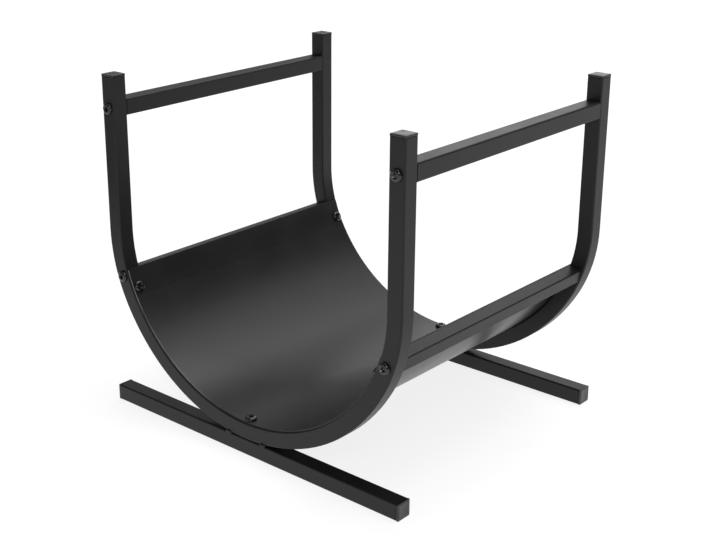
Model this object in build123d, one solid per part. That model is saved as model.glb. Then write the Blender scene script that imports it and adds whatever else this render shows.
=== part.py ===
from build123d import *
import math
import os

# A U-shaped firewood rack: two bent square-tube hoops, each welded to a foot bar and joined by
# four screwed rails, with a curved steel sheet between them that carries the logs.
# X runs across the U, Y runs from the front hoop to the rear hoop, Z is up from the floor.

# Overall size
rack_width = 400.0
rack_depth = 345.0
rack_height = 372.0

# Square tube of the hoops
hoop_tube = 18.0
hoop_wall = 1.2
hoop_corner = 1.8
least_inner_corner = 0.4

# Bend of the hoops: a tight shoulder on each side, then one wide arc through the bottom
shoulder_radius = 165.0
shoulder_angle = 29.0

# Foot bars
foot_tube = 18.0
foot_wall = 1.2
foot_corner = 1.8
foot_bar_length = 394.0

# Tack welds between hoop and foot bar
weld_offset = 24.0
weld_length = 8.0
weld_radius = 2.0
weld_end_round = 1.6
weld_setback = 0.9

# Upper rails
upper_rail_tube = 18.0
upper_rail_wall = 1.2
upper_rail_corner = 1.8
upper_rail_drop = 33.0

# Lower rails, turned so that one corner bears on the sheet
lower_rail_tube = 15.0
lower_rail_wall = 1.0
lower_rail_corner = 1.5
lower_rail_angle = 19.4
lower_rail_tilt = 12.0

# Curved sheet under the logs
sheet_thickness = 1.2
sheet_end_inset = 1.8
sheet_corner_radius = 2.0

# Button-head screws
screw_diameter = 6.0
head_diameter = 12.6
head_rim = 0.7
head_height = 3.4
head_flat = 5.6
head_dome_radius = 5.6
socket_width = 4.0
socket_depth = 2.2
rail_screw_length = 30.0
cradle_screw_length = 12.0
screw_tip_chamfer = 0.8
screw_clearance = 0.3
thread_clearance = 0.05
through_cut = 60.0

# Threaded plates in the rail ends
nut_plate_thickness = 4.0

# Countersunk rivet nuts in the hoops, for the sheet's screws
cradle_screw_step_angle = 5.9
rivet_nut_diameter = 9.0
rivet_nut_head_diameter = 10.4
rivet_nut_head_depth = 0.7
rivet_nut_length = 11.0
rivet_nut_collar_diameter = 11.4
rivet_nut_collar_length = 2.6
rivet_nut_collar_gap = 0.1
rivet_nut_clearance = 0.05

# Plastic end caps
cap_edge_height = 2.2
cap_dome_rise = 0.8
cap_edge_round = 0.5
cap_plug_length = 11.0
cap_plug_wall = 1.4
cap_plug_corner = 0.9
cap_hollow_corner = 0.6
cap_rib_count = 3
cap_rib_pitch = 3.2
cap_rib_thickness = 1.0
cap_rib_height = 0.9
cap_fit_clearance = 0.05

# Places that follow from the sizes above
cap_lid_height = cap_edge_height + cap_dome_rise
arm_top = rack_height - cap_lid_height
hoop_y = (rack_depth - hoop_tube) / 2
arm_x = (rack_width - hoop_tube) / 2
rail_length = rack_depth - 2 * hoop_tube
shoulder_x = rack_width / 2 - shoulder_radius
bottom_radius = shoulder_radius + shoulder_x / math.cos(math.radians(shoulder_angle))
bottom_z = foot_tube + bottom_radius
shoulder_z = bottom_z - (bottom_radius - shoulder_radius) * math.sin(math.radians(shoulder_angle))
sheet_outer_radius = shoulder_radius - hoop_tube
upper_rail_z = arm_top - upper_rail_drop


def across(angle, radius, centre_x, centre_z):
    """Point of the right half of the U, at an angle below the horizontal through a bend's centre."""
    turn = math.radians(angle)
    return Vector(centre_x + radius * math.cos(turn), 0, centre_z - radius * math.sin(turn))


def outward(angle):
    """Unit vector that points out of the U at an angle below the horizontal."""
    turn = math.radians(angle)
    return Vector(math.cos(turn), 0, -math.sin(turn))


def upward(angle):
    """Unit vector square to outward(angle), towards the top of the rack."""
    turn = math.radians(angle)
    return Vector(math.sin(turn), 0, math.cos(turn))


def lower_rail_corner_offset():
    """From the rail's axis to the centre of the rounding of its upper inner corner."""
    reach = lower_rail_tube / 2 - lower_rail_corner
    return upward(lower_rail_tilt) * reach - outward(lower_rail_tilt) * reach


def lower_rail_centre():
    """Axis of the right lower rail, placed so that its upper inner corner touches the sheet."""
    offset = lower_rail_corner_offset()
    ray = outward(lower_rail_angle)
    contact = sheet_outer_radius + lower_rail_corner
    along = ray.dot(offset)
    radius = -along + math.sqrt(along**2 - offset.dot(offset) + contact**2)
    return across(lower_rail_angle, radius, shoulder_x, shoulder_z)


def sheet_edge_angle():
    """Angle of the sheet's long edges, level with the top of the lower rails."""
    corner = lower_rail_centre() + lower_rail_corner_offset()
    rise = shoulder_z - (corner.Z + lower_rail_corner)
    return math.degrees(math.asin(rise / sheet_outer_radius))


def tube_bore(size, wall, corner):
    """Cross-section of the space inside a square tube."""
    inner = size - 2 * wall
    return RectangleRounded(inner, inner, max(corner - wall, least_inner_corner))


def tube_section(size, wall, corner):
    """Cross-section of a square tube with rounded corners."""
    return RectangleRounded(size, size, corner) - tube_bore(size, wall, corner)


def y_axis(centre_x, centre_z):
    """Axis of a bend, square to the plane of the hoop."""
    return Axis((centre_x, 0, centre_z), (0, 1, 0))


def section_at(angle, radius, centre_x, centre_z):
    """Plane across the hoop's tube at an angle along a bend."""
    return Plane(across(angle, radius, centre_x, centre_z), outward(angle), upward(angle))


def hoop_tube_run():
    """Bent tube of one hoop, centred on Y = 0, before any hole is drilled."""
    section = tube_section(hoop_tube, hoop_wall, hoop_corner)
    shoulder_line = shoulder_radius - hoop_tube / 2
    bottom_line = bottom_radius - hoop_tube / 2
    arm_start = section_at(0, shoulder_line, shoulder_x, shoulder_z)
    arm = extrude(arm_start * section, amount=arm_top - shoulder_z)
    shoulder = revolve(arm_start * section, y_axis(shoulder_x, shoulder_z), shoulder_angle)
    bottom_start = section_at(shoulder_angle, bottom_line, 0, bottom_z)
    bottom = revolve(bottom_start * section, y_axis(0, bottom_z), 180 - 2 * shoulder_angle)
    side = arm + shoulder
    return side + bottom + mirror(side, about=Plane.YZ)


def cradle_screw_planes():
    """Planes on the hoop's inner face at the sheet's screws, with Z pointing into the U."""
    angle = lower_rail_angle + cradle_screw_step_angle
    side = across(angle, sheet_outer_radius, shoulder_x, shoulder_z)
    inward = -outward(angle)
    right = Plane(side, (0, 1, 0), inward)
    left = Plane((-side.X, 0, side.Z), (0, 1, 0), (-inward.X, 0, inward.Z))
    bottom = Plane((0, 0, foot_tube + hoop_tube), (0, 1, 0), (0, 0, 1))
    return [left, bottom, right]


def rail_screw_points():
    """Centres of the rail screws in the plane of a hoop."""
    lower = lower_rail_centre()
    upper = Vector(arm_x, 0, upper_rail_z)
    return [Vector(side * point.X, 0, point.Z) for point in (upper, lower) for side in (-1, 1)]


def rivet_nut_outline(clearance):
    """Solid outline of a set rivet nut, flush with Z = 0 and reaching below it."""
    head = Cone(
        rivet_nut_diameter / 2 + clearance,
        rivet_nut_head_diameter / 2 + clearance,
        rivet_nut_head_depth,
        align=(Align.CENTER, Align.CENTER, Align.MAX),
    )
    barrel = Cylinder(
        rivet_nut_diameter / 2 + clearance,
        rivet_nut_length,
        align=(Align.CENTER, Align.CENTER, Align.MAX),
    )
    return head + barrel


def hoop(side):
    """One hoop with its screw holes: side -1 is the front hoop, 1 the rear hoop."""
    body = hoop_tube_run()
    clear_hole = Cylinder(screw_diameter / 2 + screw_clearance, through_cut, rotation=(90, 0, 0))
    for point in rail_screw_points():
        body -= Pos(point) * clear_hole
    countersink = rivet_nut_outline(rivet_nut_clearance)
    mouth = Cylinder(
        rivet_nut_head_diameter / 2 + rivet_nut_clearance,
        hoop_wall,
        align=(Align.CENTER, Align.CENTER, Align.MIN),
    )
    for plane in cradle_screw_planes():
        body -= plane * (countersink + mouth)
    return Pos(0, side * hoop_y, 0) * body


def foot_bar(side):
    """Straight square tube under a hoop, flush with the hoop's faces."""
    section = tube_section(foot_tube, foot_wall, foot_corner)
    start = Plane((-foot_bar_length / 2, side * hoop_y, foot_tube / 2), (0, 1, 0), (1, 0, 0))
    return extrude(start * section, amount=foot_bar_length)


def weld_bead():
    """Round-ended bead of weld metal along X."""
    bead = Cylinder(weld_radius, weld_length, rotation=(0, 90, 0))
    return fillet(bead.edges().filter_by(GeomType.CIRCLE), weld_end_round)


def foot_welds(side):
    """Four tack welds in the groove where a hoop meets its foot bar."""
    base = foot_bar(side)
    upright = hoop(side)
    bead = weld_bead()
    gap = bottom_radius - math.sqrt(bottom_radius**2 - weld_offset**2)
    beads = []
    for face in (-1, 1):
        y = side * hoop_y + face * (hoop_tube / 2 - weld_setback)
        for x in (-weld_offset, weld_offset):
            cut = Pos(x, y, foot_tube + gap / 2) * bead - base - upright
            beads.append(max(cut.solids(), key=lambda piece: piece.volume))
    return Compound(children=beads)


def upper_rail(side):
    """Rail between the arms: side -1 is the left rail, 1 the right rail."""
    section = tube_section(upper_rail_tube, upper_rail_wall, upper_rail_corner)
    start = Plane((side * arm_x, -rail_length / 2, upper_rail_z), (1, 0, 0), (0, 1, 0))
    return extrude(start * section, amount=rail_length)


def lower_rail_plane(side, y):
    """Plane across a lower rail at a place along Y."""
    centre = lower_rail_centre()
    across_rail = outward(lower_rail_tilt)
    return Plane((side * centre.X, y, centre.Z), (side * across_rail.X, 0, across_rail.Z), (0, 1, 0))


def lower_rail(side):
    """Rail behind a long edge of the sheet."""
    section = tube_section(lower_rail_tube, lower_rail_wall, lower_rail_corner)
    return extrude(lower_rail_plane(side, -rail_length / 2) * section, amount=rail_length)


def sheet_line(inset, angle):
    """Open profile of the sheet at an inset from its outer face, from left edge to right edge."""
    shoulder = sheet_outer_radius - inset
    bottom = bottom_radius - hoop_tube - inset
    edge = across(angle, shoulder, shoulder_x, shoulder_z)
    middle = across((angle + shoulder_angle) / 2, shoulder, shoulder_x, shoulder_z)
    joint = across(shoulder_angle, shoulder, shoulder_x, shoulder_z)
    low = Vector(0, 0, bottom_z - bottom)
    right = ThreePointArc((joint.X, joint.Z), (middle.X, middle.Z), (edge.X, edge.Z))
    centre = ThreePointArc((-joint.X, joint.Z), (0, low.Z), (joint.X, joint.Z))
    left = ThreePointArc((-edge.X, edge.Z), (-middle.X, middle.Z), (-joint.X, joint.Z))
    return left + centre + right


def log_cradle():
    """Curved sheet that lies on the inner faces of both hoops, with its screw holes."""
    angle = sheet_edge_angle()
    outer = sheet_line(0, angle)
    inner = sheet_line(sheet_thickness, angle)
    ends = [Line(outer @ 0, inner @ 0), Line(outer @ 1, inner @ 1)]
    length = rack_depth - 2 * sheet_end_inset
    sheet = extrude(Plane.XZ * make_face(outer + inner + ends), amount=length / 2, both=True)
    corners = sheet.edges().sort_by(SortBy.LENGTH)[:4]
    sheet = fillet(corners, sheet_corner_radius)
    hole = Cylinder(screw_diameter / 2 + screw_clearance, through_cut)
    for y in (-hoop_y, hoop_y):
        for plane in cradle_screw_planes():
            sheet -= Pos(0, y, 0) * (plane * hole)
    return sheet


def button_head_screw(length):
    """Screw along -Z with the seat of its domed head at Z = 0."""
    rim = head_diameter / 2
    flat = head_flat / 2
    profile = (
        Line((0, 0), (rim, 0))
        + Line((rim, 0), (rim, head_rim))
        + RadiusArc((rim, head_rim), (flat, head_height), -head_dome_radius)
        + Line((flat, head_height), (0, head_height))
        + Line((0, head_height), (0, 0))
    )
    head = revolve(Plane.XZ * make_face(profile), Axis.Z)
    across_corners = socket_width / math.sqrt(3)
    socket = extrude(RegularPolygon(across_corners, 6), amount=socket_depth)
    head -= Pos(0, 0, head_height - socket_depth) * socket
    shank = Cylinder(screw_diameter / 2, length, align=(Align.CENTER, Align.CENTER, Align.MAX))
    shank = chamfer(shank.edges().group_by(Axis.Z)[0], screw_tip_chamfer)
    return head + shank


def rail_screws(level):
    """Four screws through the hoops into the rails: level 0 is the upper pair of rails, 1 the lower."""
    screw = button_head_screw(rail_screw_length)
    points = rail_screw_points()[2 * level : 2 * level + 2]
    placed = []
    for side in (-1, 1):
        for point in points:
            seat = Plane((point.X, side * rack_depth / 2, point.Z), (1, 0, 0), (0, side, 0))
            placed.append(seat * screw)
    return Compound(children=placed)


def nut_plate(tube, wall, corner):
    """Threaded plate that closes a rail's end, with its outer face at Z = 0."""
    plate = extrude(tube_bore(tube, wall, corner), amount=nut_plate_thickness)
    return plate - Cylinder(screw_diameter / 2 + thread_clearance, through_cut)


def upper_nut_plates():
    """Plates in both ends of both upper rails."""
    plate = nut_plate(upper_rail_tube, upper_rail_wall, upper_rail_corner)
    placed = []
    for end in (-1, 1):
        for side in (-1, 1):
            seat = Plane((side * arm_x, end * rail_length / 2, upper_rail_z), (1, 0, 0), (0, -end, 0))
            placed.append(seat * plate)
    return Compound(children=placed)


def lower_nut_plates():
    """Plates in both ends of both lower rails."""
    plate = nut_plate(lower_rail_tube, lower_rail_wall, lower_rail_corner)
    placed = []
    for end in (-1, 1):
        for side in (-1, 1):
            rail = lower_rail_plane(side, end * rail_length / 2)
            seat = Plane(rail.origin, rail.x_dir, (0, -end, 0))
            placed.append(seat * plate)
    return Compound(children=placed)


def cradle_screws():
    """Six screws that hold the sheet on the hoops, their heads resting on its hollow face."""
    screw = button_head_screw(cradle_screw_length)
    side_face = sheet_outer_radius - sheet_thickness
    bottom_face = bottom_radius - hoop_tube - sheet_thickness
    placed = []
    for y in (-hoop_y, hoop_y):
        for plane, face_radius in zip(cradle_screw_planes(), (side_face, bottom_face, side_face)):
            sag = face_radius - math.sqrt(face_radius**2 - (head_diameter / 2) ** 2)
            placed.append(Pos(0, y, 0) * (plane.offset(sheet_thickness + sag) * screw))
    return Compound(children=placed)


def rivet_nut():
    """Rivet nut as set: countersunk head, barrel, collar squeezed out behind the wall, threaded bore."""
    collar = Cylinder(
        rivet_nut_collar_diameter / 2,
        rivet_nut_collar_length,
        align=(Align.CENTER, Align.CENTER, Align.MAX),
    )
    body = rivet_nut_outline(0) + Pos(0, 0, -hoop_wall - rivet_nut_collar_gap) * collar
    return body - Cylinder(screw_diameter / 2 + thread_clearance, through_cut)


def cradle_rivet_nuts():
    """Six rivet nuts in the inner walls of the hoops."""
    nut = rivet_nut()
    placed = [
        Pos(0, y, 0) * (plane * nut) for y in (-hoop_y, hoop_y) for plane in cradle_screw_planes()
    ]
    return Compound(children=placed)


def end_cap(tube, wall, corner):
    """Push-in cap for a square tube: its lid stands on Z = 0 and its ribbed plug reaches below."""
    block = extrude(RectangleRounded(tube, tube, corner), amount=cap_lid_height)
    dome_radius = ((tube / 2) ** 2 + cap_dome_rise**2) / (2 * cap_dome_rise)
    dome = Pos(0, 0, cap_lid_height - dome_radius) * Sphere(dome_radius)
    lid = block & dome
    rim = lid.edges().filter_by(lambda edge: edge.center().Z > cap_edge_height / 2)
    lid = fillet(rim, cap_edge_round)
    core = tube - 2 * (wall + cap_fit_clearance + cap_rib_height)
    hollow = core - 2 * cap_plug_wall
    plug = extrude(RectangleRounded(core, core, cap_plug_corner), amount=-cap_plug_length)
    rib = extrude(tube_bore(tube, wall + cap_fit_clearance, corner), amount=-cap_rib_thickness)
    for index in range(cap_rib_count):
        plug += Pos(0, 0, -cap_rib_pitch / 2 - index * cap_rib_pitch) * rib
    plug -= extrude(RectangleRounded(hollow, hollow, cap_hollow_corner), amount=-cap_plug_length)
    return lid + plug


def arm_cap(side, end):
    """Cap on top of an arm: side -1 is left, 1 right; end -1 is front, 1 rear."""
    cap = end_cap(hoop_tube, hoop_wall, hoop_corner)
    return Pos(side * arm_x, end * hoop_y, arm_top) * cap


def foot_cap(side, end):
    """Cap in the end of a foot bar: side -1 is left, 1 right; end -1 is front, 1 rear."""
    cap = end_cap(foot_tube, foot_wall, foot_corner)
    seat = Plane((side * foot_bar_length / 2, end * hoop_y, foot_tube / 2), (0, 1, 0), (side, 0, 0))
    return seat * cap


def rack_parts():
    """Every sub-part by the name of its node."""
    parts = {
        "log_cradle": log_cradle(),
        "upper_rail_screws": rail_screws(0),
        "lower_rail_screws": rail_screws(1),
        "upper_rail_nut_plates": upper_nut_plates(),
        "lower_rail_nut_plates": lower_nut_plates(),
        "cradle_screws": cradle_screws(),
        "cradle_rivet_nuts": cradle_rivet_nuts(),
    }
    for end, end_name in ((-1, "front"), (1, "rear")):
        parts[f"{end_name}_hoop"] = hoop(end)
        parts[f"{end_name}_foot_bar"] = foot_bar(end)
        parts[f"{end_name}_foot_welds"] = foot_welds(end)
        for side, side_name in ((-1, "left"), (1, "right")):
            parts[f"{end_name}_{side_name}_arm_cap"] = arm_cap(side, end)
            parts[f"{end_name}_{side_name}_foot_cap"] = foot_cap(side, end)
    for side, side_name in ((-1, "left"), (1, "right")):
        parts[f"upper_{side_name}_rail"] = upper_rail(side)
        parts[f"lower_{side_name}_rail"] = lower_rail(side)
    return parts


os.makedirs("parts", exist_ok=True)
for node, shape in rack_parts().items():
    export_step(shape, f"parts/{node}.step")
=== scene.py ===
import logging
import math
from dataclasses import dataclass
from enum import Enum
from typing import Callable

import bmesh
import bpy
from bpy.types import Material, Node, NodeSocket, Object
from mathutils import Matrix, Vector


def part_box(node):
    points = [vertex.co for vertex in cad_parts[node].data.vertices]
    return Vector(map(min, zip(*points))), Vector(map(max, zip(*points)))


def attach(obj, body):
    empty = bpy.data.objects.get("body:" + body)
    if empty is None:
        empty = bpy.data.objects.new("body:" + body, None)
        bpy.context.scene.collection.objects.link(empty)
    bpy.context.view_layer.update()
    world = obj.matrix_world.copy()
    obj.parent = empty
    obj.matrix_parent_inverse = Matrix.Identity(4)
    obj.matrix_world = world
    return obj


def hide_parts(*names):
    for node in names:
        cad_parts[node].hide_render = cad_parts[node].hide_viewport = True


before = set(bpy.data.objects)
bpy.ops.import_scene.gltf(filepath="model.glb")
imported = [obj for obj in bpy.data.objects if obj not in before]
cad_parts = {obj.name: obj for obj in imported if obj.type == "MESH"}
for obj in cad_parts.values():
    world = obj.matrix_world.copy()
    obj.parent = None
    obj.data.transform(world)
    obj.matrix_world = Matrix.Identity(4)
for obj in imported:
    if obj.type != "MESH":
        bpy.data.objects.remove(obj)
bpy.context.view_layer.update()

# Looks of a U-shaped firewood rack: two bent square-tube hoops on foot bars, four rails and a
# curved sheet, all in satin black powder coat, with plastic caps and black button-head screws.
# Metres, X across the U, Y from the front hoop to the rear hoop, Z up from the floor.

log = logging.getLogger("firewood_rack")

Colour = tuple[float, float, float, float]
Point = tuple[float, float, float]
Span = tuple[float, float]

# Middle of the rack, where the lights point
MIDDLE = Vector((0, 0, 0.18))

# Limits for picking faces and edges: a face that looks straight along an axis, an edge that runs
# steeply or nearly level, and how near in metres counts as touching
STRAIGHT = 0.99
STEEP = 0.9
LEVEL = 0.1
TOUCH = 0.00001

# Middle plane of each hoop, from mid depth
HOOP_Y = 0.1635

# Merging distance of doubled vertices in metres
DOUBLE = 0.000001

# Turn of each tack weld about its length, by the face and side of the hoop that it is on
BEAD_TURNS = {(-1, -1): 0.4, (-1, 1): 1.3, (1, -1): 2.1, (1, 1): 2.9}


class Side(Enum):
    """Left or right of the rack, seen from its front hoop."""

    LEFT = -1
    RIGHT = 1


class End(Enum):
    """Front or rear hoop of the rack."""

    FRONT = -1
    REAR = 1


def grey(value: float, warmth: float = 0.0) -> Colour:
    """Near-neutral colour.

    Args:
        value: Linear brightness.
        warmth: Share by which red rises and blue falls.

    Returns:
        An opaque RGBA colour.
    """
    return (value * (1 + warmth), value, value * (1 - warmth), 1.0)


class ShaderTree:
    """Shader tree of one material, built from named nodes."""

    def __init__(self, name: str) -> None:
        """Starts an empty material.

        Args:
            name: Name of the material.
        """
        self.material = bpy.data.materials.new(name)
        self.material.use_nodes = True
        self.tree = self.material.node_tree
        self.tree.nodes.clear()

    def add(self, kind: str, label: str, **inputs: object) -> Node:
        """Adds one node.

        Args:
            kind: Blender's name of the node type.
            label: What the node does, in plain words.
            **inputs: Socket values, by socket name with underscores for spaces.

        Returns:
            The new node.
        """
        node = self.tree.nodes.new(kind)
        node.label = label
        for socket, value in inputs.items():
            node.inputs[socket.replace("_", " ")].default_value = value
        return node

    def join(self, source: NodeSocket, target: NodeSocket) -> None:
        """Links two sockets.

        Args:
            source: Output socket.
            target: Input socket.
        """
        self.tree.links.new(source, target)

    def object_place(self) -> NodeSocket:
        """Gives Object coordinates, which are metres in the rack's own frame.

        Returns:
            The coordinates.
        """
        place = self.add("ShaderNodeTexCoord", "place on the rack")
        return place.outputs["Object"]

    def noise(
        self, label: str, place: NodeSocket, size: float, detail: float = 2.0, rough: float = 0.5
    ) -> NodeSocket:
        """Noise of a given feature size.

        Args:
            label: What the noise stands for.
            place: Coordinates in metres.
            size: Rough width of one feature in metres.
            detail: Octaves of finer noise.
            rough: How strong the finer octaves are.

        Returns:
            The noise value, about 0 to 1.
        """
        node = self.add("ShaderNodeTexNoise", label, Scale=1 / size, Detail=detail, Roughness=rough)
        self.join(place, node.inputs["Vector"])
        return node.outputs["Fac"]

    def remap(
        self, label: str, value: NodeSocket, span: Span, result: Span = (0.0, 1.0)
    ) -> NodeSocket:
        """Maps a span of a value to a span of results, held at both ends.

        Args:
            label: What the mapped value is.
            value: Value to map.
            span: Values that give the first and last result.
            result: First and last result.

        Returns:
            The mapped value.
        """
        node = self.add("ShaderNodeMapRange", label)
        node.inputs["From Min"].default_value = span[0]
        node.inputs["From Max"].default_value = span[1]
        node.inputs["To Min"].default_value = result[0]
        node.inputs["To Max"].default_value = result[1]
        self.join(value, node.inputs["Value"])
        return node.outputs["Result"]

    def product(self, label: str, first: NodeSocket, second: NodeSocket) -> NodeSocket:
        """Multiplies two values.

        Args:
            label: What the product stands for.
            first: First value.
            second: Second value.

        Returns:
            The product.
        """
        node = self.add("ShaderNodeMath", label)
        node.operation = "MULTIPLY"
        self.join(first, node.inputs[0])
        self.join(second, node.inputs[1])
        return node.outputs["Value"]

    def blend(
        self, label: str, share: NodeSocket, low: Colour | NodeSocket, high: Colour
    ) -> NodeSocket:
        """Mixes two colours.

        Args:
            label: What the mix stands for.
            share: 0 for the first colour, 1 for the second.
            low: First colour, or the socket that gives it.
            high: Second colour.

        Returns:
            The mixed colour.
        """
        node = self.add("ShaderNodeMix", label)
        node.data_type = "RGBA"
        if isinstance(low, tuple):
            node.inputs[6].default_value = low
        else:
            self.join(low, node.inputs[6])
        node.inputs[7].default_value = high
        self.join(share, node.inputs[0])
        return node.outputs[2]

    def bump(
        self, label: str, height: NodeSocket, depth: float, strength: float, under: NodeSocket | None = None
    ) -> NodeSocket:
        """Relief from a height value.

        Args:
            label: What the relief stands for.
            height: Height, about 0 to 1.
            depth: Height of the relief in metres.
            strength: Share of the relief that shows.
            under: Normal of a coarser relief below this one.

        Returns:
            The bent normal.
        """
        node = self.add("ShaderNodeBump", label, Distance=depth, Strength=strength)
        self.join(height, node.inputs["Height"])
        if under is not None:
            self.join(under, node.inputs["Normal"])
        return node.outputs["Normal"]

    def finish(
        self, colour: NodeSocket, roughness: NodeSocket, normal: NodeSocket, **constants: object
    ) -> Material:
        """Ends the tree with one principled shader.

        Args:
            colour: Base colour.
            roughness: Roughness.
            normal: Bent normal.
            **constants: Values set on the shader's own sockets.

        Returns:
            The finished material.
        """
        shader = self.add("ShaderNodeBsdfPrincipled", "surface", **constants)
        self.join(colour, shader.inputs["Base Color"])
        self.join(roughness, shader.inputs["Roughness"])
        self.join(normal, shader.inputs["Normal"])
        return self.close(shader.outputs["BSDF"])

    def close(self, surface: NodeSocket) -> Material:
        """Ends the tree with its surface.

        Args:
            surface: Shader that the material shows.

        Returns:
            The finished material.
        """
        output = self.add("ShaderNodeOutputMaterial", "output")
        self.join(surface, output.inputs["Surface"])
        return self.material


@dataclass(frozen=True)
class PowderCoat:
    """Satin black powder coat: soft orange peel, a fine sand of cured powder and faint haze.

    The cut end is the distance from mid depth at which a sheet ends, where the coat runs thin and is
    painted pale, with a painted highlight kept to the left part of the end. At 0 the piece has no cut end.
    """

    name: str = "black_powder_coat"
    tone: float = 0.0082
    haze_tone: float = 0.0112
    haze_size: float = 0.055
    haze_span: Span = (0.38, 0.66)
    roughness: float = 0.4
    roughness_spread: float = 0.04
    roughness_span: Span = (0.3, 0.7)
    ior: float = 1.36
    peel_size: float = 0.0016
    peel_depth: float = 0.000012
    peel_strength: float = 0.8
    sand_size: float = 0.00028
    sand_depth: float = 0.000004
    sand_strength: float = 0.7
    speck_size: float = 0.0022
    speck_span: Span = (0.85, 0.88)
    speck_share: float = 0.15
    speck_tone: float = 0.12
    # Pale cut ends: metal through the thin coat, plus a painted highlight kept to the left part of the end
    cut_end: float = 0.0
    pale_end_and_highlight_tone: float = 0.26
    highlight_side: Span = (-0.03, -0.085)
    wear_size: float = 0.03
    wear_span: Span = (0.35, 0.6)
    thin_coat_and_highlight_reach: float = 0.0002
    least_wear: float = 0.45

    def material(self) -> Material:
        """Builds the coat's material.

        Returns:
            The material, in Object coordinates at true scale.
        """
        tree = ShaderTree(self.name)
        place = tree.object_place()
        haze = tree.noise("cloudy haze of the cured coat", place, self.haze_size, detail=3.0, rough=0.55)
        peel = tree.noise("orange peel", place, self.peel_size, detail=1.5, rough=0.4)
        sand = tree.noise("fine powder sand", place, self.sand_size, detail=2.0, rough=0.6)
        specks = tree.noise("settled dust specks", place, self.speck_size, detail=0.0)
        haze_share = tree.remap("haze share", haze, self.haze_span)
        base = tree.blend("coat with haze", haze_share, grey(self.tone), grey(self.haze_tone, warmth=0.01))
        dust = tree.remap("only the rarest specks", specks, self.speck_span, (0.0, self.speck_share))
        colour = tree.blend("coat with dust", dust, base, grey(self.speck_tone, warmth=0.02))
        if self.cut_end > 0:
            colour = self.pale_cut_ends_and_painted_highlight(tree, place, colour)
        ends = (self.roughness - self.roughness_spread, self.roughness + self.roughness_spread)
        roughness = tree.remap("roughness follows the haze", haze, self.roughness_span, ends)
        peeled = tree.bump("orange peel relief", peel, self.peel_depth, self.peel_strength)
        normal = tree.bump("powder sand relief", sand, self.sand_depth, self.sand_strength, peeled)
        return tree.finish(colour, roughness, normal, IOR=self.ior, Specular_IOR_Level=0.5)

    def pale_cut_ends_and_painted_highlight(self, tree: ShaderTree, place: NodeSocket, coated: NodeSocket) -> NodeSocket:
        """Paints the sheet's sharp cut ends paler, as metal through a thin coat, with a painted highlight
        on their left part.

        Args:
            tree: Shader tree of the coat.
            place: Coordinates in metres.
            coated: Colour of the whole coat.

        Returns:
            The colour with pale cut ends and their painted highlight.
        """
        parts = tree.add("ShaderNodeSeparateXYZ", "place along the depth")
        tree.join(place, parts.inputs["Vector"])
        reach = tree.add("ShaderNodeMath", "distance from mid depth")
        reach.operation = "ABSOLUTE"
        tree.join(parts.outputs["Y"], reach.inputs[0])
        end_span = (self.cut_end - self.thin_coat_and_highlight_reach, self.cut_end)
        end = tree.remap("cut end", reach.outputs["Value"], end_span)
        wear = tree.noise("thin and thick runs", place, self.wear_size)
        worn = tree.remap("thinness of the coat", wear, self.wear_span, (self.least_wear, 1.0))
        # Painted highlight: the pale share is kept to the left part of each cut end
        side = tree.remap("left part of the end", parts.outputs["X"], self.highlight_side)
        pale = tree.product("pale share", tree.product("worn end", worn, end), side)
        return tree.blend("coat with pale ends", pale, coated, grey(self.pale_end_and_highlight_tone, warmth=0.01))


@dataclass(frozen=True)
class MouldedPlastic:
    """Black polyethylene of the push-in caps, with the fine spark grain of the mould."""

    name: str = "black_cap_plastic"
    tone: float = 0.009
    worn_tone: float = 0.016
    grain_size: float = 0.00045
    grain_depth: float = 0.00002
    grain_strength: float = 0.6
    flow_size: float = 0.009
    flow_span: Span = (0.35, 0.68)
    roughness_span: Span = (0.3, 0.7)
    roughness: Span = (0.26, 0.36)
    ior: float = 1.51

    def material(self) -> Material:
        """Builds the plastic's material.

        Returns:
            The material, in Object coordinates at true scale.
        """
        tree = ShaderTree(self.name)
        place = tree.object_place()
        grain = tree.noise("spark grain of the mould", place, self.grain_size, detail=3.0, rough=0.6)
        flow = tree.noise("flow of the melt", place, self.flow_size)
        share = tree.remap("flow share", flow, self.flow_span)
        colour = tree.blend("black with paler flow", share, grey(self.tone), grey(self.worn_tone))
        roughness = tree.remap("roughness follows the flow", flow, self.roughness_span, self.roughness)
        normal = tree.bump("grain relief", grain, self.grain_depth, self.grain_strength)
        return tree.finish(colour, roughness, normal, IOR=self.ior, Specular_IOR_Level=0.5)


@dataclass(frozen=True)
class BlackenedSteel:
    """Blackened screw steel: dark, slightly glossy, with fine turning marks."""

    name: str = "blackened_screw_steel"
    tone: float = 0.005
    bare_tone: float = 0.014
    mark_size: float = 0.0004
    mark_depth: float = 0.000006
    mark_strength: float = 0.7
    rub_size: float = 0.0036
    rub_span: Span = (0.52, 0.72)
    rub_share: float = 0.7
    roughness_span: Span = (0.3, 0.75)
    roughness: Span = (0.17, 0.12)
    ior: float = 1.48
    oil: float = 0.3
    oil_roughness: float = 0.08

    def material(self) -> Material:
        """Builds the screw steel's material.

        Returns:
            The material, in Object coordinates at true scale.
        """
        tree = ShaderTree(self.name)
        place = tree.object_place()
        marks = tree.noise("turning and tumbling marks", place, self.mark_size, rough=0.55)
        rub = tree.noise("rubbed patches", place, self.rub_size, detail=3.0, rough=0.6)
        share = tree.remap("rub share", rub, self.rub_span, (0.0, self.rub_share))
        colour = tree.blend("black over steel", share, grey(self.tone), grey(self.bare_tone, warmth=0.03))
        roughness = tree.remap("roughness of the blacking", rub, self.roughness_span, self.roughness)
        normal = tree.bump("mark relief", marks, self.mark_depth, self.mark_strength)
        constants = {"IOR": self.ior, "Coat_Weight": self.oil, "Coat_Roughness": self.oil_roughness}
        return tree.finish(colour, roughness, normal, **constants)


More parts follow.
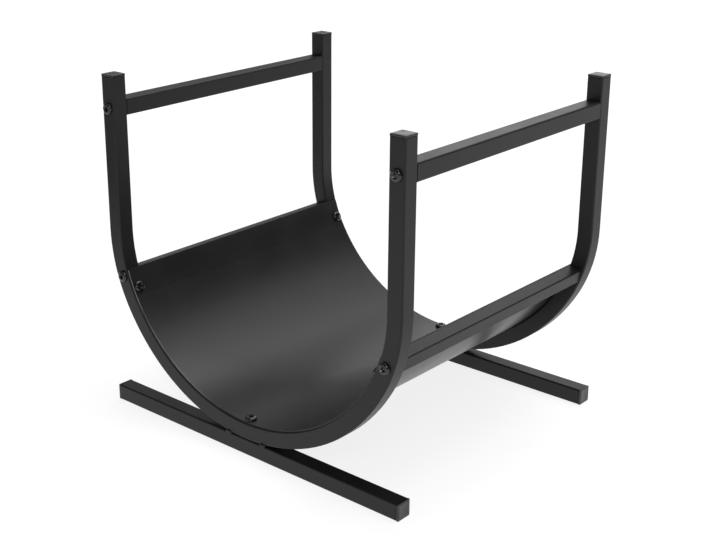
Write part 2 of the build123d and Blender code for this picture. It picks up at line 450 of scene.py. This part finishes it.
@dataclass(frozen=True)
class MillSteel:
    """Bare mild steel of the plates inside the rails, with mill scale and a trace of oil."""

    name: str = "mill_steel"
    tone: float = 0.34
    scale_tone: float = 0.12
    patch_size: float = 0.006
    patch_span: Span = (0.42, 0.62)
    grain_size: float = 0.0003
    grain_depth: float = 0.00001
    grain_strength: float = 0.6
    roughness_span: Span = (0.35, 0.65)
    roughness: Span = (0.32, 0.55)
    metallic: float = 0.9

    def material(self) -> Material:
        """Builds the mill steel's material.

        Returns:
            The material, in Object coordinates at true scale.
        """
        tree = ShaderTree(self.name)
        place = tree.object_place()
        patches = tree.noise("mill scale patches", place, self.patch_size, detail=4.0, rough=0.6)
        grain = tree.noise("rolled grain", place, self.grain_size)
        share = tree.remap("scale share", patches, self.patch_span)
        steel = grey(self.tone, warmth=0.02)
        colour = tree.blend("steel and scale", share, steel, grey(self.scale_tone, warmth=0.04))
        roughness = tree.remap("roughness of the scale", patches, self.roughness_span, self.roughness)
        normal = tree.bump("grain relief", grain, self.grain_depth, self.grain_strength)
        return tree.finish(colour, roughness, normal, Metallic=self.metallic)


@dataclass(frozen=True)
class ZincPlate:
    """Bright zinc plate of the rivet nuts inside the hoops, with a spangle of pale crystals."""

    name: str = "zinc_plate"
    tone: float = 0.55
    dull_tone: float = 0.38
    spangle_size: float = 0.0012
    spangle_span: Span = (0.1, 0.8)
    roughness: Span = (0.22, 0.4)
    etch_size: float = 0.0002
    etch_depth: float = 0.000004
    etch_strength: float = 0.5

    def material(self) -> Material:
        """Builds the zinc's material.

        Returns:
            The material, in Object coordinates at true scale.
        """
        tree = ShaderTree(self.name)
        place = tree.object_place()
        spangle = tree.add("ShaderNodeTexVoronoi", "zinc crystals", Scale=1 / self.spangle_size)
        tree.join(place, spangle.inputs["Vector"])
        fine = tree.noise("fine etch", place, self.etch_size)
        edge = spangle.outputs["Distance"]
        share = tree.remap("crystal share", edge, self.spangle_span)
        bright = grey(self.tone, warmth=-0.02)
        colour = tree.blend("bright and dull zinc", share, bright, grey(self.dull_tone))
        roughness = tree.remap("roughness of the crystals", edge, (0.0, 1.0), self.roughness)
        normal = tree.bump("etch relief", fine, self.etch_depth, self.etch_strength)
        return tree.finish(colour, roughness, normal, Metallic=1.0)


# Coat of the curved sheet, smoother and a little paler than that of the tubes; the paler tone is painted
# sheen
# Its cut ends are painted pale, with a painted highlight on their left part
SHEET_COAT_WITH_PAINTED_SHEEN = PowderCoat(
    name="sheet_powder_coat", tone=0.0152, haze_tone=0.0178, roughness=0.34, ior=1.405, cut_end=0.17065
)


def dress(node: str, material: Material) -> None:
    """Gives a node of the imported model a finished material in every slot.

    Args:
        node: Name of the node.
        material: Material to show on it.
    """
    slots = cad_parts[node].material_slots
    for slot in slots:
        slot.material = material
    log.info("%s dressed in %s", node, material.name)


def deselect_everything() -> None:
    """Leaves object mode ready for a new primitive, with nothing selected."""
    if bpy.context.object is not None and bpy.context.object.mode != "OBJECT":
        bpy.ops.object.mode_set(mode="OBJECT")
    bpy.ops.object.select_all(action="DESELECT")


def select_vertices(obj: Object, wanted: Callable[[Vector], bool]) -> int:
    """Selects vertices of the mesh in edit mode by their place.

    Args:
        obj: Mesh object in edit mode.
        wanted: Test that takes a vertex's place and returns True to select it.

    Returns:
        How many vertices are selected.
    """
    mesh = bmesh.from_edit_mesh(obj.data)
    chosen = 0
    for vertex in mesh.verts:
        vertex.select = bool(wanted(vertex.co))
        chosen += vertex.select
    mesh.select_flush(True)
    mesh.select_flush(False)
    bmesh.update_edit_mesh(obj.data)
    return chosen


def pick(objects: list[Object]) -> None:
    """Selects objects, and nothing else, in object mode.

    Args:
        objects: Objects to select, the first as the active one.
    """
    deselect_everything()
    for obj in objects:
        obj.select_set(True)
    bpy.context.view_layer.objects.active = objects[0]


def join_as(name: str, objects: list[Object]) -> Object:
    """Joins mesh objects into one piece.

    Args:
        name: Name of the piece.
        objects: Objects to join.

    Returns:
        The joined piece.
    """
    pick(objects)
    bpy.ops.object.join()
    piece = bpy.context.object
    piece.name = name
    return piece


def paint_all(obj: Object, material: Material) -> None:
    """Gives a modelled piece one material all over.

    Args:
        obj: Mesh object.
        material: Its only material.
    """
    obj.data.materials.clear()
    obj.data.materials.append(material)


def select_faces(obj: Object, wanted: Callable[[Vector, Vector], bool]) -> None:
    """Selects faces of the mesh in edit mode by their middle and normal.

    Args:
        obj: Mesh object in edit mode.
        wanted: Test that takes a face's middle and normal and returns True to select it.
    """
    bpy.ops.mesh.select_mode(type="FACE")
    bpy.ops.mesh.select_all(action="DESELECT")
    mesh = bmesh.from_edit_mesh(obj.data)
    mesh.normal_update()
    for face in mesh.faces:
        if wanted(face.calc_center_median(), face.normal):
            face.select_set(True)
    bmesh.update_edit_mesh(obj.data)


def select_edges(obj: Object, wanted: Callable[[Vector, Vector], bool]) -> None:
    """Selects edges of the mesh in edit mode by their middle and direction.

    Args:
        obj: Mesh object in edit mode.
        wanted: Test that takes an edge's middle and unit direction and returns True to select it.
    """
    bpy.ops.mesh.select_mode(type="EDGE")
    bpy.ops.mesh.select_all(action="DESELECT")
    mesh = bmesh.from_edit_mesh(obj.data)
    for edge in mesh.edges:
        first, last = (vertex.co for vertex in edge.verts)
        if wanted((first + last) / 2, (last - first).normalized()):
            edge.select_set(True)
    bmesh.update_edit_mesh(obj.data)


def close_mesh(obj: Object, smooth_angle: float) -> None:
    """Merges doubles, turns all faces outwards and shades the mesh smooth below an angle.

    Args:
        obj: Mesh object.
        smooth_angle: Largest angle in degrees that is shaded smooth.
    """
    pick([obj])
    bpy.ops.object.mode_set(mode="EDIT")
    bpy.ops.mesh.select_all(action="SELECT")
    bpy.ops.mesh.remove_doubles(threshold=DOUBLE)
    bpy.ops.mesh.normals_make_consistent(inside=False)
    bpy.ops.object.mode_set(mode="OBJECT")
    bpy.ops.object.shade_smooth_by_angle(angle=math.radians(smooth_angle))


def cut(obj: Object, cutter: Object) -> None:
    """Cuts one closed mesh out of another and removes the cutter.

    Args:
        obj: Mesh that loses material.
        cutter: Closed mesh that is taken away.
    """
    step = obj.modifiers.new("cut", "BOOLEAN")
    step.operation = "DIFFERENCE"
    step.solver = "EXACT"
    step.object = cutter
    pick([obj])
    bpy.ops.object.modifier_apply(modifier=step.name)
    bpy.data.objects.remove(cutter)


def copy_to(original: Object, name: str, place: Matrix) -> Object:
    """Copies a finished piece with its own mesh and puts it in place.

    Args:
        original: Piece modelled at the origin.
        name: Name of the copy.
        place: Where the copy goes.

    Returns:
        The copy, with its place in its mesh.
    """
    copy = original.copy()
    copy.data = original.data.copy()
    copy.name = name
    copy.data.transform(place)
    bpy.context.scene.collection.objects.link(copy)
    return copy


@dataclass
class EndCap:
    """Push-in plastic cap for a square tube: lid with a sloped border and a shallow dish, ribbed plug."""

    width: float = 0.018
    lid_height: float = 0.003
    corner_round: float = 0.0011
    rim_round: float = 0.00045
    seam_bevel: float = 0.0006
    border_rise: float = 0.0004
    border_width: float = 0.0021
    dish_slope: float = 0.0005
    dish_depth: float = 0.00012
    plug_width: float = 0.0155
    plug_waist: float = 0.0138
    plug_wall: float = 0.0014
    plug_length: float = 0.011
    plug_hollow: float = 0.0099
    rib_pitch: float = 0.0026
    rib_thickness: float = 0.0009
    smooth_angle: float = 40.0

    def lid(self) -> Object:
        """Models the lid with its rounded corners, eased rim and dished top.

        Returns:
            The lid, standing on Z = 0.
        """
        top = self.lid_height - self.border_rise
        deselect_everything()
        bpy.ops.mesh.primitive_cube_add(size=1, location=(0, 0, 0))
        cap = bpy.context.object
        cap.name = "end_cap_pattern"
        bpy.ops.object.mode_set(mode="EDIT")
        bpy.ops.transform.resize(value=(self.width, self.width, top), center_override=(0, 0, 0))
        bpy.ops.transform.translate(value=(0, 0, top / 2))
        select_edges(cap, lambda middle, along: abs(along.z) > STEEP)
        bpy.ops.mesh.bevel(offset=self.corner_round, offset_type="OFFSET", segments=4, profile=0.5)
        select_edges(cap, lambda middle, along: middle.z > top - TOUCH and abs(along.z) < LEVEL)
        bpy.ops.mesh.bevel(offset=self.rim_round, offset_type="OFFSET", segments=3, profile=0.5)
        select_edges(cap, lambda middle, along: middle.z < TOUCH and abs(along.z) < LEVEL)
        bpy.ops.mesh.bevel(offset=self.seam_bevel, offset_type="OFFSET", segments=1, profile=0.5)
        select_faces(cap, lambda middle, normal: normal.z > STRAIGHT and middle.z > top - TOUCH)
        flat = self.width - 2 * self.rim_round
        panel = self.width - 2 * self.border_width
        dish = panel - 2 * self.dish_slope
        self.step(-self.border_rise, panel / flat)
        self.step(self.dish_depth, dish / panel)
        return cap

    def plug(self, cap: Object) -> None:
        """Draws the ribbed plug out of the lid's underside and hollows it.

        Args:
            cap: The lid, in edit mode.
        """
        select_faces(cap, lambda middle, normal: normal.z < -STRAIGHT and middle.z < TOUCH)
        waist_to_rib = self.plug_width / self.plug_waist
        plain = self.rib_pitch - self.rib_thickness
        self.step(0, self.plug_waist / (self.width - 2 * self.seam_bevel))
        for _ in range(int(self.plug_length / self.rib_pitch)):
            self.step(plain, 1)
            self.step(0, waist_to_rib)
            self.step(self.rib_thickness, 1)
            self.step(0, 1 / waist_to_rib)
        self.step(0, (self.plug_waist - 2 * self.plug_wall) / self.plug_waist)
        self.step(-self.plug_hollow, 1)

    def step(self, depth: float, scale: float) -> None:
        """Extrudes the selected face down by a depth, then scales it about the cap's middle.

        Args:
            depth: Distance downwards in metres.
            scale: New width over old width.
        """
        bpy.ops.mesh.extrude_region_move(TRANSFORM_OT_translate={"value": (0, 0, -depth)})
        bpy.ops.transform.resize(value=(scale, scale, 1), center_override=(0, 0, 0))

    def pattern(self, plastic: Material) -> Object:
        """Models the cap that all eight are copied from.

        Args:
            plastic: Material of the cap.

        Returns:
            The pattern, its lid standing on Z = 0.
        """
        cap = self.lid()
        self.plug(cap)
        close_mesh(cap, self.smooth_angle)
        paint_all(cap, plastic)
        return cap


@dataclass
class ButtonScrew:
    """Button-head screw with a hexagon socket, its head seated on Z = 0.

    Args:
        length: Length of the shank in metres.
    """

    length: float
    head_radius: float = 0.0063
    rim_height: float = 0.0007
    shank_radius: float = 0.003
    socket_width: float = 0.004
    socket_depth: float = 0.0022
    socket_mouth: float = 0.0031
    cone_tip: float = 0.0002
    head_height: float = 0.0034
    flat_radius: float = 0.0034
    tip_taper: float = 0.8
    dome_steps: int = 7
    sides: int = 48
    smooth_angle: float = 32.0

    def head(self) -> Object:
        """Models the domed head on its shank.

        Returns:
            The screw before its socket is cut.
        """
        deselect_everything()
        bpy.ops.mesh.primitive_cylinder_add(
            vertices=self.sides, radius=self.head_radius, depth=self.rim_height, location=(0, 0, 0)
        )
        screw = bpy.context.object
        bpy.ops.object.mode_set(mode="EDIT")
        bpy.ops.transform.translate(value=(0, 0, self.rim_height / 2))
        select_faces(screw, lambda middle, normal: normal.z > STRAIGHT)
        radius = self.head_radius
        height = self.rim_height
        rise = self.head_height - self.rim_height
        for step in range(1, self.dome_steps + 1):
            turn = math.pi / 2 * step / self.dome_steps
            wide = self.flat_radius + (self.head_radius - self.flat_radius) * math.cos(turn)
            high = self.rim_height + rise * math.sin(turn)
            bpy.ops.mesh.extrude_region_move(TRANSFORM_OT_translate={"value": (0, 0, high - height)})
            bpy.ops.transform.resize(value=(wide / radius, wide / radius, 1), center_override=(0, 0, 0))
            radius = wide
            height = high
        select_faces(screw, lambda middle, normal: normal.z < -STRAIGHT)
        neck = self.shank_radius / self.head_radius
        bpy.ops.mesh.extrude_region_move()
        bpy.ops.transform.resize(value=(neck, neck, 1), center_override=(0, 0, 0))
        bpy.ops.mesh.extrude_region_move(TRANSFORM_OT_translate={"value": (0, 0, -self.length)})
        bpy.ops.transform.resize(value=(self.tip_taper, self.tip_taper, 1), center_override=(0, 0, 0))
        bpy.ops.object.mode_set(mode="OBJECT")
        return screw

    def pattern(self, steel: Material) -> Object:
        """Models the screw that the others are copied from.

        Args:
            steel: Material of the screw.

        Returns:
            The pattern screw.
        """
        screw = self.head()
        screw.name = "screw_pattern"
        across_corners = self.socket_width / math.sqrt(3)
        top = self.head_height
        deselect_everything()
        bpy.ops.mesh.primitive_cylinder_add(
            vertices=6, radius=across_corners, depth=2 * self.socket_depth, location=(0, 0, top)
        )
        cut(screw, bpy.context.object)
        deselect_everything()
        # A 45 degree cone that is as wide as the mouth at the flat top and runs on above it
        above = self.socket_mouth - self.socket_width / 2
        wide = self.socket_mouth + above
        tall = wide - self.cone_tip
        bpy.ops.mesh.primitive_cone_add(
            vertices=self.sides,
            radius1=self.cone_tip,
            radius2=wide,
            depth=tall,
            location=(0, 0, top + above - tall / 2),
        )
        cut(screw, bpy.context.object)
        close_mesh(screw, self.smooth_angle)
        paint_all(screw, steel)
        return screw


@dataclass
class TackWelds:
    """Tack welds in the grooves where one hoop sits on its foot bar.

    Args:
        end: Which hoop the welds belong to.
    """

    end: End
    offset: float = 0.024
    length: float = 0.0086
    height: float = 0.0023
    ripples: int = 5
    rings_per_ripple: int = 4
    segments: int = 20
    ripple_swell: float = 0.16
    ripple_width: float = 0.3
    ripple_share: Span = (0.7, 0.3)
    ripple_turn: float = 5.0
    smoothing: float = 0.35
    rise: float = 0.0012
    foot_height: float = 0.018
    hoop_face: float = 0.009
    set_back: float = 0.0007

    def bead(self, name: str, centre: Vector, turn: float) -> Object:
        """Models one bead of weld metal, thick in the middle and rippled along its length.

        Args:
            name: Name of the object.
            centre: Middle of the bead.
            turn: Turn about the bead's length, so that no two beads are alike.

        Returns:
            The bead, with its place in its mesh.
        """
        deselect_everything()
        bpy.ops.mesh.primitive_uv_sphere_add(
            segments=self.segments,
            ring_count=self.rings_per_ripple * self.ripples,
            radius=self.height,
            location=(0, 0, 0),
        )
        bead = bpy.context.object
        bead.name = name
        bpy.ops.object.mode_set(mode="EDIT")
        bpy.ops.mesh.select_all(action="SELECT")
        bpy.ops.transform.rotate(value=math.pi / 2, orient_axis="Y", center_override=(0, 0, 0))
        stretch = self.length / 2 / self.height
        bpy.ops.transform.resize(value=(stretch, 1, 1), center_override=(0, 0, 0))
        pitch = self.length / self.ripples
        even, change = self.ripple_share
        for index in range(self.ripples):
            crest = -self.length / 2 + (index + 0.5) * pitch
            found = select_vertices(bead, lambda place: abs(place.x - crest) < pitch * self.ripple_width)
            if found:
                share = even + change * math.sin(self.ripple_turn * index + turn)
                swell = 1 + self.ripple_swell * share
                bpy.ops.transform.resize(value=(1, swell, swell), center_override=(crest, 0, 0))
        bpy.ops.mesh.select_all(action="SELECT")
        bpy.ops.transform.rotate(value=turn, orient_axis="X", center_override=(0, 0, 0))
        bpy.ops.transform.translate(value=centre)
        bpy.ops.mesh.vertices_smooth(factor=self.smoothing, repeat=1)
        bpy.ops.mesh.normals_make_consistent(inside=False)
        bpy.ops.object.mode_set(mode="OBJECT")
        rounding = bead.modifiers.new("rounding", "SUBSURF")
        rounding.levels = 1
        rounding.render_levels = 1
        bpy.ops.object.modifier_apply(modifier=rounding.name)
        bpy.ops.object.shade_smooth()
        return bead

    def build(self, coat: Material) -> None:
        """Makes the four beads of the foot and joins them into one piece.

        Args:
            coat: Material of the powder coat over the welds.
        """
        beads = []
        for (face, side), turn in BEAD_TURNS.items():
            centre = Vector(
                (
                    side * self.offset,
                    self.end.value * HOOP_Y + face * (self.hoop_face - self.set_back),
                    self.foot_height + self.rise,
                )
            )
            beads.append(self.bead(f"tack_{face}_{side}", centre, turn))
        piece = join_as(f"{self.end.name.lower()}_tack_welds", beads)
        paint_all(piece, coat)
        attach(piece, "root")
        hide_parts(f"{self.end.name.lower()}_foot_welds")
        log.info("%s modelled with %d faces", piece.name, len(piece.data.polygons))


@dataclass
class Hoop:
    """One bent hoop on its foot bar, with its welds and caps.

    Args:
        end: Front or rear hoop.
    """

    end: End
    arm_x: float = 0.191
    arm_top: float = 0.369
    foot_end: float = 0.197
    foot_middle: float = 0.009

    def cap(self, pattern: Object, node: str, seat: Vector, out: Vector) -> None:
        """Puts one cap in the end of a tube.

        Args:
            pattern: Cap that is copied.
            node: Node that the cap stands for.
            seat: Middle of the tube's end.
            out: Direction that the lid faces.
        """
        turn = out.to_track_quat("Z", "Y").to_matrix().to_4x4()
        cap = copy_to(pattern, f"{node}_moulded", Matrix.Translation(seat) @ turn)
        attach(cap, "root")
        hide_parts(node)
        log.info("%s modelled with %d faces", cap.name, len(cap.data.polygons))

    def build(self, coat: Material, cap: Object) -> None:
        """Dresses the hoop and foot bar, fits the caps and models the welds.

        Args:
            coat: Powder coat of the tubes.
            cap: Cap that the four caps of this hoop are copied from.
        """
        name = self.end.name.lower()
        y = self.end.value * HOOP_Y
        dress(f"{name}_hoop", coat)
        dress(f"{name}_foot_bar", coat)
        for side in Side:
            node = f"{name}_{side.name.lower()}"
            arm = Vector((side.value * self.arm_x, y, self.arm_top))
            foot = Vector((side.value * self.foot_end, y, self.foot_middle))
            self.cap(cap, f"{node}_arm_cap", arm, Vector((0, 0, 1)))
            self.cap(cap, f"{node}_foot_cap", foot, Vector((side.value, 0, 0)))
        TackWelds(self.end).build(coat)


@dataclass
class Rails:
    """The four rails between the hoops, with the plates in their ends."""

    levels: tuple[str, ...] = ("upper", "lower")

    def build(self, coat: Material, plate: Material) -> None:
        """Dresses the rails and their hidden plates.

        Args:
            coat: Powder coat of the rails.
            plate: Steel of the plates.
        """
        for level in self.levels:
            for side in Side:
                dress(f"{level}_{side.name.lower()}_rail", coat)
            dress(f"{level}_rail_nut_plates", plate)


@dataclass
class LogCradle:
    """The curved sheet that carries the logs."""

    node: str = "log_cradle"

    def build(self, coat: Material) -> None:
        """Dresses the sheet.

        Args:
            coat: Powder coat of the sheet.
        """
        dress(self.node, coat)


@dataclass
class Fasteners:
    """Screws of the rails and the sheet, and the rivet nuts behind the sheet's screws."""

    rail_length: float = 0.03
    cradle_length: float = 0.012
    shoulder: Span = (0.035, 0.2036166)
    cradle_angle: float = 25.3
    cradle_reach: float = 0.145664
    cradle_bottom: float = 0.037307
    first_spin: float = 0.3
    spin_step: float = 0.7

    def rail_seats(self, node: str, screw: ButtonScrew) -> list[tuple[Vector, Vector]]:
        """Seats of the four screws at one level of rails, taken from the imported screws' box.

        Args:
            node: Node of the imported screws.
            screw: Sizes of the screw.

        Returns:
            Middle of each seat and the direction its head faces.
        """
        low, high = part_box(node)
        x = high[0] - screw.head_radius
        y = high[1] - screw.head_height
        z = (low[2] + high[2]) / 2
        signs = [(across, along) for across in (-1, 1) for along in (-1, 1)]
        return [(Vector((a * x, b * y, z)), Vector((0, b, 0))) for a, b in signs]

    def cradle_seats(self) -> list[tuple[Vector, Vector]]:
        """Seats of the six screws of the sheet.

        Returns:
            Middle of each seat and the direction its head faces.
        """
        turn = math.radians(self.cradle_angle)
        centre_x, centre_z = self.shoulder
        x = centre_x + self.cradle_reach * math.cos(turn)
        z = centre_z - self.cradle_reach * math.sin(turn)
        seats = []
        for y in (-HOOP_Y, HOOP_Y):
            seats.append((Vector((0, y, self.cradle_bottom)), Vector((0, 0, 1))))
            for side in (-1, 1):
                out = Vector((-side * math.cos(turn), 0, math.sin(turn)))
                seats.append((Vector((side * x, y, z)), out))
        return seats

    def fit(self, pattern: Object, node: str, seats: list[tuple[Vector, Vector]]) -> None:
        """Copies a screw to its seats and joins the copies into one piece.

        Args:
            pattern: Screw that is copied.
            node: Node that the screws stand for.
            seats: Middle of each seat and the direction its head faces.
        """
        copies = []
        for index, (seat, out) in enumerate(seats):
            spin = Matrix.Rotation(self.spin_step * index + self.first_spin, 4, "Z")
            turn = out.to_track_quat("Z", "Y").to_matrix().to_4x4()
            copies.append(copy_to(pattern, f"{node}_{index}", Matrix.Translation(seat) @ turn @ spin))
        piece = join_as(f"{node}_fitted", copies)
        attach(piece, "root")
        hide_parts(node)
        log.info("%s modelled with %d faces", piece.name, len(piece.data.polygons))

    def build(self, steel: Material, zinc: Material) -> None:
        """Models and fits the screws, and dresses the rivet nuts.

        Args:
            steel: Blackened steel of the screws.
            zinc: Zinc plate of the rivet nuts.
        """
        rail_screw = ButtonScrew(self.rail_length)
        pattern = rail_screw.pattern(steel)
        for node in ("upper_rail_screws", "lower_rail_screws"):
            self.fit(pattern, node, self.rail_seats(node, rail_screw))
        bpy.data.objects.remove(pattern)
        pattern = ButtonScrew(self.cradle_length).pattern(steel)
        self.fit(pattern, "cradle_screws", self.cradle_seats())
        bpy.data.objects.remove(pattern)
        dress("cradle_rivet_nuts", zinc)


@dataclass(frozen=True)
class SoftBox:
    """One rectangular studio light that points at the rack.

    Args:
        name: Name of the light.
        azimuth: Direction of the light from the rack, in degrees from +Y towards +X.
        elevation: Height of the light above the horizon, in degrees.
        distance: Distance from the rack in metres.
        width: Width of the light in metres.
        height: Height of the light in metres.
        radiance: Brightness of its face.
    """

    name: str
    azimuth: float
    elevation: float
    distance: float
    width: float
    height: float
    radiance: float

    def place(self) -> Vector:
        """Works out where the light stands.

        Returns:
            Place of the light.
        """
        azimuth = math.radians(self.azimuth)
        elevation = math.radians(self.elevation)
        flat = math.cos(elevation)
        direction = Vector((math.sin(azimuth) * flat, math.cos(azimuth) * flat, math.sin(elevation)))
        return MIDDLE + direction * self.distance

    def build(self) -> None:
        """Makes the light."""
        place = self.place()
        data = bpy.data.lights.new(self.name, "AREA")
        data.shape = "RECTANGLE"
        data.size = self.width
        data.size_y = self.height
        data.energy = self.radiance * math.pi * self.width * self.height
        light = bpy.data.objects.new(self.name, data)
        light.location = place
        light.rotation_mode = "QUATERNION"
        light.rotation_quaternion = (place - MIDDLE).to_track_quat("Z", "Y")
        light.visible_camera = False
        bpy.context.scene.collection.objects.link(light)


@dataclass(frozen=True)
class Flag:
    """A dark card out of the picture that keeps a reflection out of the coat.

    Args:
        name: Name of the card.
        place: Middle of the card.
        facing: Direction that the card faces.
        width: Width of the card in metres.
        height: Height of the card in metres.
        tone: Brightness of the card's felt.
    """

    name: str
    place: Point
    facing: Point
    width: float
    height: float
    tone: float

    def build(self) -> None:
        """Makes the card and hides it from the camera, from shadows and from diffuse light."""
        deselect_everything()
        bpy.ops.mesh.primitive_plane_add(size=1, location=(0, 0, 0))
        card = bpy.context.object
        card.name = self.name
        turn = Vector(self.facing).to_track_quat("Z", "Y").to_matrix().to_4x4()
        card.data.transform(Matrix.Diagonal((self.width, self.height, 1, 1)))
        card.data.transform(Matrix.Translation(self.place) @ turn)
        tree = ShaderTree(f"{self.name}_felt")
        shader = tree.add("ShaderNodeBsdfDiffuse", "dark felt", Color=grey(self.tone))
        card.data.materials.append(tree.close(shader.outputs["BSDF"]))
        card.visible_camera = False
        card.visible_shadow = False
        card.visible_diffuse = False


@dataclass
class Studio:
    """White floor lit from below, soft lights, dark cards and the camera of the photograph."""

    floor_size: float = 40.0
    floor_tone: float = 0.26
    floor_glow: float = 0.84
    far_glow: float = 0.97
    glow_reach: Span = (0.8, 2.4)
    wall_radius: float = 18.0
    wall_height: float = 14.0
    wall_sides: int = 96
    wall_tone: float = 1.0
    sky: float = 0.2
    camera_place: Point = (0.845323, -1.009919, 0.641648)
    camera_yaw: float = 41.549
    camera_pitch: float = 18.94
    camera_roll: float = -0.132
    camera_lens: float = 64.8246
    camera_sensor: float = 36.0
    camera_reach: Span = (0.05, 100.0)
    camera_shift: Span = (0.0531, -0.0419)
    boxes: tuple[SoftBox, ...] = (
        SoftBox(
            name="overhead_box", azimuth=25.0, elevation=76.0, distance=1.9,
            width=1.7, height=1.4, radiance=3.0,
        ),
        SoftBox(
            name="rear_left_box", azimuth=-27.0, elevation=21.0, distance=2.6,
            width=1.25, height=0.9, radiance=1.5,
        ),
        SoftBox(
            name="between_box", azimuth=-21.0, elevation=42.0, distance=2.3,
            width=0.8, height=0.5, radiance=1.1,
        ),
        SoftBox(
            name="left_box", azimuth=-57.0, elevation=31.0, distance=2.6,
            width=1.0, height=0.6, radiance=1.1,
        ),
        SoftBox(
            name="rear_box", azimuth=10.0, elevation=45.0, distance=2.2,
            width=1.4, height=0.95, radiance=1.4,
        ),
        SoftBox(
            name="front_fill_box", azimuth=143.0, elevation=31.0, distance=1.8,
            width=0.34, height=0.34, radiance=15.0,
        ),
    )
    flags: tuple[Flag, ...] = (
        Flag(
            name="right_rear_card", place=(1.682, 1.624, 0.72), facing=(-0.701, -0.677, -0.225),
            width=2.2, height=1.0, tone=0.01,
        ),
        Flag(
            name="front_left_card", place=(-1.15, -0.85, 0.01), facing=(0.0, 0.0, 1.0),
            width=1.1, height=1.0, tone=0.25,
        ),
    )

    def floor(self) -> None:
        """Lays the pale floor."""
        deselect_everything()
        bpy.ops.mesh.primitive_plane_add(size=self.floor_size, location=(0, 0, 0))
        floor = bpy.context.object
        floor.name = "studio_floor"
        tree = ShaderTree("light_table")
        paint = tree.add("ShaderNodeBsdfDiffuse", "white acrylic", Color=grey(self.floor_tone))
        spread = tree.add("ShaderNodeVectorMath", "distance from the middle")
        spread.operation = "LENGTH"
        tree.join(tree.object_place(), spread.inputs[0])
        glows = (self.floor_glow, self.far_glow)
        distance = spread.outputs["Value"]
        strength = tree.remap("more lamps under the outer panes", distance, self.glow_reach, glows)
        glow = tree.add("ShaderNodeEmission", "lit from below", Color=grey(1.0))
        tree.join(strength, glow.inputs["Strength"])
        both = tree.add("ShaderNodeAddShader", "acrylic and glow")
        tree.join(paint.outputs["BSDF"], both.inputs[0])
        tree.join(glow.outputs["Emission"], both.inputs[1])
        floor.data.materials.append(tree.close(both.outputs["Shader"]))

    def wall(self) -> None:
        """Closes the set with a white wall far behind the lights, seen only by the camera."""
        deselect_everything()
        bpy.ops.mesh.primitive_cylinder_add(
            vertices=self.wall_sides,
            radius=self.wall_radius,
            depth=self.wall_height,
            end_fill_type="NOTHING",
            location=(0, 0, 0),
        )
        wall = bpy.context.object
        wall.name = "studio_wall"
        wall.data.transform(Matrix.Translation((0, 0, self.wall_height / 2)))
        tree = ShaderTree("studio_wall_white")
        shader = tree.add("ShaderNodeEmission", "white wall", Color=grey(1.0), Strength=self.wall_tone)
        wall.data.materials.append(tree.close(shader.outputs["Emission"]))
        wall.visible_glossy = False
        wall.visible_diffuse = False
        wall.visible_shadow = False

    def surroundings(self) -> None:
        """Sets the even white of the studio walls."""
        world = bpy.data.worlds.new("studio_walls")
        world.use_nodes = True
        background = world.node_tree.nodes["Background"]
        background.inputs["Color"].default_value = grey(1.0)
        background.inputs["Strength"].default_value = self.sky
        bpy.context.scene.world = world

    def camera(self) -> None:
        """Sets up the camera at the photograph's viewing angle."""
        data = bpy.data.cameras.new("camera")
        data.lens = self.camera_lens
        data.sensor_width = self.camera_sensor
        data.shift_x, data.shift_y = self.camera_shift
        data.clip_start, data.clip_end = self.camera_reach
        camera = bpy.data.objects.new("camera", data)
        turn = (
            Matrix.Rotation(math.radians(self.camera_yaw), 4, "Z")
            @ Matrix.Rotation(math.pi / 2 - math.radians(self.camera_pitch), 4, "X")
            @ Matrix.Rotation(math.radians(self.camera_roll), 4, "Z")
        )
        camera.matrix_world = Matrix.Translation(self.camera_place) @ turn
        bpy.context.scene.collection.objects.link(camera)
        bpy.context.scene.camera = camera

    def build(self) -> None:
        """Builds the whole studio."""
        self.floor()
        self.wall()
        self.surroundings()
        for box in self.boxes:
            box.build()
        for flag in self.flags:
            flag.build()
        self.camera()
        bpy.context.scene.view_settings.view_transform = "Standard"
        log.info("studio ready with %d lights", len(self.boxes))


def main() -> None:
    """Builds the studio and dresses the rack, sub-assembly by sub-assembly."""
    logging.basicConfig(level=logging.INFO, format="%(name)s: %(message)s")
    coat = PowderCoat().material()
    sheet_coat_with_painted_sheen = SHEET_COAT_WITH_PAINTED_SHEEN.material()
    plastic = MouldedPlastic().material()
    screw_steel = BlackenedSteel().material()
    plate_steel = MillSteel().material()
    zinc = ZincPlate().material()
    Studio().build()
    cap = EndCap().pattern(plastic)
    for end in End:
        Hoop(end).build(coat, cap)
    bpy.data.objects.remove(cap)
    Rails().build(coat, plate_steel)
    LogCradle().build(sheet_coat_with_painted_sheen)
    Fasteners().build(screw_steel, zinc)


if __name__ == "__main__":
    main()
